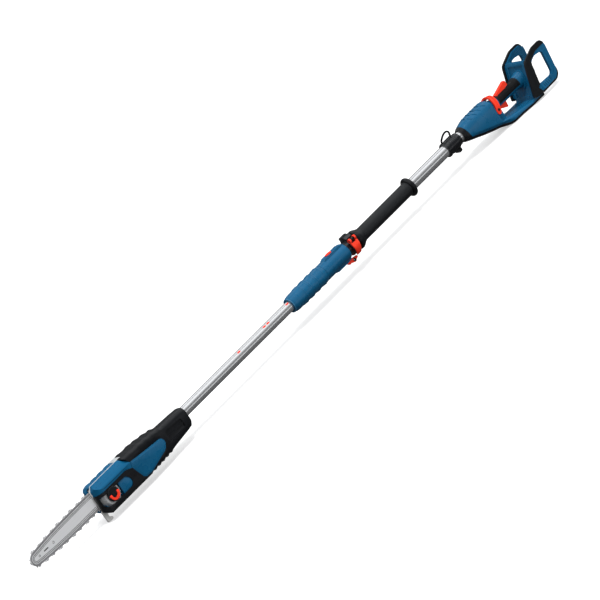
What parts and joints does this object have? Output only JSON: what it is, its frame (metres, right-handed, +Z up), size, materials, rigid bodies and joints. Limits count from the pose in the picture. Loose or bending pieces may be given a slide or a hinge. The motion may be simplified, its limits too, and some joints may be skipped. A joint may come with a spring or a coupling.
{
  "type": "telescoping pole saw",
  "caption": "Cordless pole saw: a short chain saw head with guide bar and chain on a telescoping pole with cam clamp, foam grip, and a rear handle with a guarded battery bay.",
  "frame": {"origin": "middle of the flat underside of the foot under the rear handle, on the floor the saw lies on", "axes": "+X along the pole from the rear handle to the nose of the guide bar, +Y to the user's left, +Z up"},
  "size_m": [2.0207, 0.0986, 0.1173],
  "materials": {
    "blue_shell": "moulded blue nylon, satin",
    "black_shell": "moulded black nylon, fine grain",
    "strap_loop": "black plastic-coated wire",
    "soft_grip": "soft black overmould",
    "foam": "black foam rubber",
    "lead": "coiled flexible lead",
    "orange": "orange nylon, satin",
    "tube": "drawn and brushed along its length",
    "bare_steel": "zinc-plated steel",
    "chain_steel": "ground steel, lightly oiled",
    "bar_steel": "ground flat steel",
    "die_cast": "die-cast, unpolished",
    "grey_ring": "grey filled plastic",
    "light_grey": "light grey plastic",
    "tank": "cloudy translucent plastic",
    "windings": "copper windings on laminations"
  },
  "bodies": {
    "rear_unit": {"rear_housing_left": "blue_shell", "rear_housing_right": "blue_shell", "nose_collar": "black_shell", "bottom_skid": "black_shell", "grip_overmould": "soft_grip", "guard_left": "blue_shell", "guard_rim_left": "black_shell", "guard_right": "blue_shell", "guard_rim_right": "black_shell", "battery_rail": "black_shell", "terminal_block": "grey_ring", "switch_module": "black_shell", "stub_tube": "tube", "strap_collar": "black_shell", "strap_eyelet": "strap_loop", "collar_screw": "bare_steel", "outer_tube": "tube", "foam_grip": "foam", "grip_flange": "black_shell", "grip_ring": "black_shell", "sleeve_body": "blue_shell", "sleeve_grip": "blue_shell", "sleeve_eyelet": "orange", "clamp_collar": "black_shell", "clamp_bolt": "bare_steel", "clamp_pin": "bare_steel", "bail_screw_left": "bare_steel", "bail_screw_right": "bare_steel"},
    "extension": {"front_tube": "tube", "slide_bush": "black_shell", "coiled_lead": "lead", "motor_housing_left": "black_shell", "motor_housing_right": "black_shell", "side_panel_left": "blue_shell", "side_panel_right": "blue_shell", "oil_tank": "tank", "base_plate": "die_cast", "far_cover": "blue_shell", "cover_liner": "light_grey", "sprocket_cover": "blue_shell", "cover_frame": "black_shell", "cover_insert": "blue_shell", "guide_bar": "bar_steel", "chain": "chain_steel", "motor_stator": "windings", "bar_stud": "bare_steel", "hook": "light_grey", "motor_controller": "black_shell"},
    "trigger": {"trigger": "orange"},
    "lock_off_lever": {"lock_off_lever": "orange"},
    "bail": {"bail": "orange"},
    "clamp_lever": {"clamp_lever": "orange"},
    "release_button": {"release_button": "orange"},
    "drive": {"motor_rotor": "bare_steel", "drive_sprocket": "bare_steel"},
    "nose_sprocket": {"nose_sprocket": "bare_steel"},
    "tension_ring": {"tension_ring": "grey_ring"},
    "knob": {"knob": "black_shell"},
    "knob_wing": {"knob_wing": "orange"},
    "oil_cap": {"oil_cap": "black_shell"}
  },
  "joints": [
    {"name": "pole_slide", "type": "slide", "parent": "rear_unit", "child": "extension", "axis": [1, 0, 0], "range_m": [-0.21, 0.315]},
    {"name": "trigger_pull", "type": "hinge", "parent": "rear_unit", "child": "trigger", "pos_m": [0.044, 0, 0.051], "axis": [0, 1, 0], "range_deg": [0, 10], "stiffness_Nm_per_rad": 0.6, "springref_deg": -20.05},
    {"name": "lock_off_press", "type": "hinge", "parent": "rear_unit", "child": "lock_off_lever", "pos_m": [0.03, 0, 0.073], "axis": [0, -1, 0], "range_deg": [0, 11], "stiffness_Nm_per_rad": 0.4, "springref_deg": -20.05},
    {"name": "bail_swing", "type": "hinge", "parent": "rear_unit", "child": "bail", "pos_m": [0.063, 0, 0.055], "axis": [0, 1, 0], "range_deg": [0, 10]},
    {"name": "clamp_lever_swing", "type": "hinge", "parent": "rear_unit", "child": "clamp_lever", "pos_m": [0.62, 0.0245, 0.0845], "axis": [1, 0, 0], "range_deg": [0, 110]},
    {"name": "release_button_press", "type": "slide", "parent": "rear_unit", "child": "release_button", "axis": [0, 0, -1], "range_m": [0, 0.003], "stiffness_N_per_m": 800, "springref_m": -0.004},
    {"name": "drive_spin", "type": "hinge", "parent": "extension", "child": "drive", "pos_m": [1.551, 0, 0.066], "axis": [0, 1, 0], "continuous": true},
    {"name": "nose_sprocket_spin", "type": "hinge", "parent": "extension", "child": "nose_sprocket", "pos_m": [1.8575, 0, 0.066], "axis": [0, 1, 0], "continuous": true},
    {"name": "tension_ring_turn", "type": "hinge", "parent": "extension", "child": "tension_ring", "pos_m": [1.591, 0.0237, 0.055], "axis": [0, 1, 0], "range_deg": [-120, 120]},
    {"name": "knob_turn", "type": "hinge", "parent": "extension", "child": "knob", "pos_m": [1.591, 0.026, 0.055], "axis": [0, 1, 0], "continuous": true},
    {"name": "knob_wing_fold", "type": "hinge", "parent": "knob", "child": "knob_wing", "pos_m": [1.591, 0.0322, 0.055], "axis": [1, 0, 0], "range_deg": [0, 90]},
    {"name": "oil_cap_turn", "type": "hinge", "parent": "extension", "child": "oil_cap", "pos_m": [1.513, -0.03, 0.074], "axis": [0, -1, 0], "range_deg": [0, 90]}
  ],
  "couplings": [
    {"joint": "nose_sprocket_spin", "follows": "drive_spin", "ratio": 1.3333}
  ]
}
